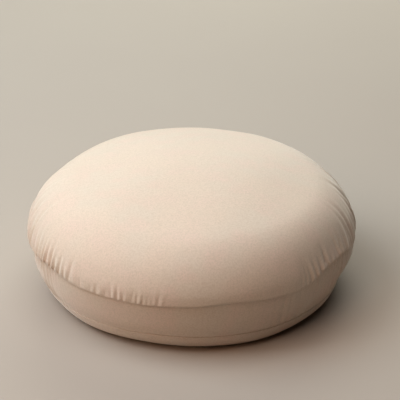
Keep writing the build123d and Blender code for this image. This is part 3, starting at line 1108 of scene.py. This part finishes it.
def velvet_material():
    """Short cut pile: matt, with a soft sheen and faint pinker and yellower patches."""
    sheen = {"sheen_weight": 0.55, "sheen_roughness": 0.38, "sheen_tint": (1.0, 0.93, 0.86)}
    surface = Surface("velvet", (0.66, 0.53, 0.42), 0.92, **sheen)
    patches = surface.eased(surface.noise(0.085, 1.5), 0.35, 0.65)
    warm = surface.eased(surface.noise(0.045, 1.0, surface.stretched((1, 1.3, 1))), 0.4, 0.7)
    grain = surface.noise(0.0028, 3.0)
    cream = surface.blend(patches, (0.680, 0.540, 0.438), (0.655, 0.545, 0.450))
    pinker = surface.blend(warm, cream, (0.688, 0.526, 0.438))
    surface.colour(surface.eased(grain, 0.3, 0.75), pinker, (0.590, 0.470, 0.375))
    brushed = surface.noise(0.012, 2.0)
    surface.bump((brushed, 0.6 * mm, 0.35), (grain, 0.45 * mm, 0.6))
    return surface.material


def thread_material(name, colour):
    """Spun thread: fine, slightly darker ply marks."""
    surface = Surface(name, colour, 0.6, sheen_weight=0.2, sheen_roughness=0.5)
    ply = surface.noise(0.0006, 1.0)
    darker = tuple(0.75 * value for value in colour)
    surface.colour(surface.eased(ply, 0.35, 0.65), darker, colour)
    surface.bump((ply, 0.1 * mm, 0.5))
    return surface.material


def woven_material(name, colour, thread, roughness):
    """Plain woven cloth: fine threads, slightly uneven in tone."""
    surface = Surface(name, colour, roughness)
    weave = surface.noise(thread, 2.0)
    tone = surface.noise(0.03, 2.0)
    darker = tuple(0.82 * value for value in colour)
    lighter = tuple(min(1.06 * value, 1.0) for value in colour)
    uneven_tone = surface.blend(surface.eased(tone, 0.35, 0.65), colour, lighter)
    surface.colour(surface.eased(weave, 0.3, 0.6), darker, uneven_tone)
    surface.bump((weave, 0.2 * mm, 0.5))
    return surface.material


def metal_material():
    """Enamelled zinc: cream paint over a casting, worn darker in places."""
    paint, worn = (0.60, 0.52, 0.43), (0.52, 0.44, 0.36)
    surface = Surface("zip_metal", paint, 0.34, coat_weight=0.3, coat_roughness=0.2)
    wear = surface.eased(surface.noise(0.004, 3.0), 0.45, 0.75)
    surface.colour(wear, paint, worn)
    surface.bump((surface.noise(0.0008, 2.0), 0.05 * mm, 0.3))
    return surface.material


def coil_material():
    """Nylon filament, slightly glossy."""
    lighter, darker = (0.62, 0.53, 0.43), (0.56, 0.47, 0.38)
    surface = Surface("zip_coil", lighter, 0.38)
    tone = surface.eased(surface.noise(0.006, 2.0), 0.35, 0.65)
    surface.colour(tone, lighter, darker)
    return surface.material


def fibre_material():
    """White crimped polyester fibre."""
    surface = Surface("fibre_filling", (0.82, 0.81, 0.78), 0.95, sheen_weight=0.3, sheen_roughness=0.6)
    strands = surface.noise(0.002, 4.0, surface.stretched((1, 0.3, 1)))
    surface.colour(surface.eased(strands, 0.3, 0.7), (0.70, 0.69, 0.66), (0.84, 0.83, 0.80))
    surface.bump((strands, 1.5 * mm, 0.8))
    return surface.material


def floor_material():
    """Plain and pale, with a faint unevenness."""
    surface = Surface("floor", (0.40, 0.33, 0.285), 0.85)
    tone = surface.noise(0.5, 2.0)
    surface.colour(tone, (0.39, 0.325, 0.28), (0.41, 0.345, 0.295))
    return surface.material


# The scene around the cushion


def place_camera():
    """Looks at the front, down on the cushion."""
    tilt = radians(camera_elevation)
    sight = Vector((0, 0, sight_height))
    up = Vector((0, sin(tilt), cos(tilt)))
    camera = added("camera", bpy.data.cameras.new("camera"))
    camera.data.lens = camera_lens
    camera.data.sensor_width = sensor_width
    camera.location = sight + camera_distance * Vector((0, -cos(tilt), sin(tilt)))
    aim = sight + Vector((aim_right, 0, 0)) + aim_up * up
    camera.rotation_euler = (aim - camera.location).to_track_quat("-Z", "Y").to_euler()
    bpy.context.scene.camera = camera


def place_light(name, azimuth, elevation, power, colour):
    """A square soft light that faces the cushion."""
    light = bpy.data.lights.new(name, "AREA")
    light.size = light_size
    light.energy = power
    light.color = colour
    lamp = added(name, light)
    turn, tilt = radians(azimuth), radians(elevation)
    direction = Vector((cos(tilt) * cos(turn), cos(tilt) * sin(turn), sin(tilt)))
    lamp.location = Vector((0, 0, light_target_height)) + light_distance * direction
    lamp.rotation_euler = direction.to_track_quat("Z", "Y").to_euler()


def light_world():
    """An even, very faint light from all round."""
    world = bpy.data.worlds.new("world")
    world.use_nodes = True
    background = next(node for node in world.node_tree.nodes if node.type == "BACKGROUND")
    background.inputs["Color"].default_value = (*world_colour, 1)
    background.inputs["Strength"].default_value = world_strength
    bpy.context.scene.world = world


def lay_floor():
    """A plain floor, just under the cushion."""
    sides = ((-1, -1), (1, -1), (1, 1), (-1, 1))
    corners = [(floor_half_width * x, floor_half_width * y, -floor_drop) for x, y in sides]
    mesh = bpy.data.meshes.new("floor")
    mesh.from_pydata(corners, [], [(0, 1, 2, 3)])
    mesh.materials.append(floor_material())
    floor = added("floor", mesh)


place_camera()
lay_floor()
for light_facts in lights:
    place_light(*light_facts)
light_world()
bpy.context.scene.view_settings.view_transform = "Standard"

materials = {
    "velvet": velvet_material(),
    "sewing_thread": thread_material("sewing_thread", (0.50, 0.38, 0.27)),
    "edging_thread": thread_material("edging_thread", (0.62, 0.52, 0.42)),
    "liner_thread": thread_material("liner_thread", (0.78, 0.77, 0.74)),
    "zip_tape": woven_material("zip_tape", (0.60, 0.50, 0.40), 0.0008, 0.75),
    "label_ribbon": woven_material("label_ribbon", (0.80, 0.78, 0.73), 0.0004, 0.45),
    "liner_cloth": woven_material("liner_cloth", (0.80, 0.79, 0.75), 0.0011, 0.9),
    "zip_metal": metal_material(),
    "zip_coil": coil_material(),
    "fibre_filling": fibre_material(),
}

crown_lengths = np.linspace(row_lengths[0], 0, crown_ring_count + 1)[1:]
base_lengths = np.linspace(row_lengths[-1], section_lengths[-1], base_ring_count + 1)[1:]

cushions = [
    make_piece("top_panel", panel(top_row, -1, crown_lengths), "velvet"),
    make_piece("bottom_panel", panel(bottom_row, 1, base_lengths), "velvet"),
    make_piece("front_band", front_band(), "velvet"),
    make_piece("zip_band_upper", zip_band(1), "velvet"),
    make_piece("zip_band_lower", zip_band(-1), "velvet"),
    make_piece("liner_top", bag_piece(bag_top, overall_height), "liner_cloth"),
    make_piece("liner_band", bag_piece(bag_bottom, bag_top), "liner_cloth"),
    make_piece("liner_bottom", bag_piece(0, bag_bottom), "liner_cloth"),
    make_piece("fibre_fill", fibre_fill(), "fibre_filling"),
]

seam_row_place = half_band - seam_row_inset
edge_place = half_band - seam_allowance
for side, name in ((1, "top"), (-1, "bottom")):
    make_piece(name + "_seam_thread", seam_thread(side * seam_row_place), "sewing_thread")
for side, name in ((1, "top"), (-1, "bottom")):
    make_piece(name + "_seam_overlock", overlock(side * edge_place), "edging_thread")
make_piece("band_join_threads", join_threads(), "sewing_thread")
for side, name in ((1, "upper"), (-1, "lower")):
    make_piece("zip_topstitch_" + name, topstitch(side), "sewing_thread")
    make_piece("zip_tape_" + name, tape(side), "zip_tape")
    make_piece("zip_coil_" + name, coil(side), "zip_coil")
make_piece("care_label", care_label(), "label_ribbon")
make_piece("liner_top_seam_thread", bag_thread(bag_top), "liner_thread")
make_piece("liner_bottom_seam_thread", bag_thread(bag_bottom), "liner_thread")
closing_sweep = bag_closing_length / bottom_seam_radius
closing_start = back_azimuth - closing_sweep / 2
closing = bag_thread(bag_bottom + bag_closing_rise, closing_start, closing_sweep)
make_piece("liner_closing_stitches", closing, "liner_thread")
for node in ("slider_body", "slider_bridge", "pull_tab", "zip_top_stops", "zip_bottom_stop"):
    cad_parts[node].data.materials.clear()
    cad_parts[node].data.materials.append(materials["zip_metal"])
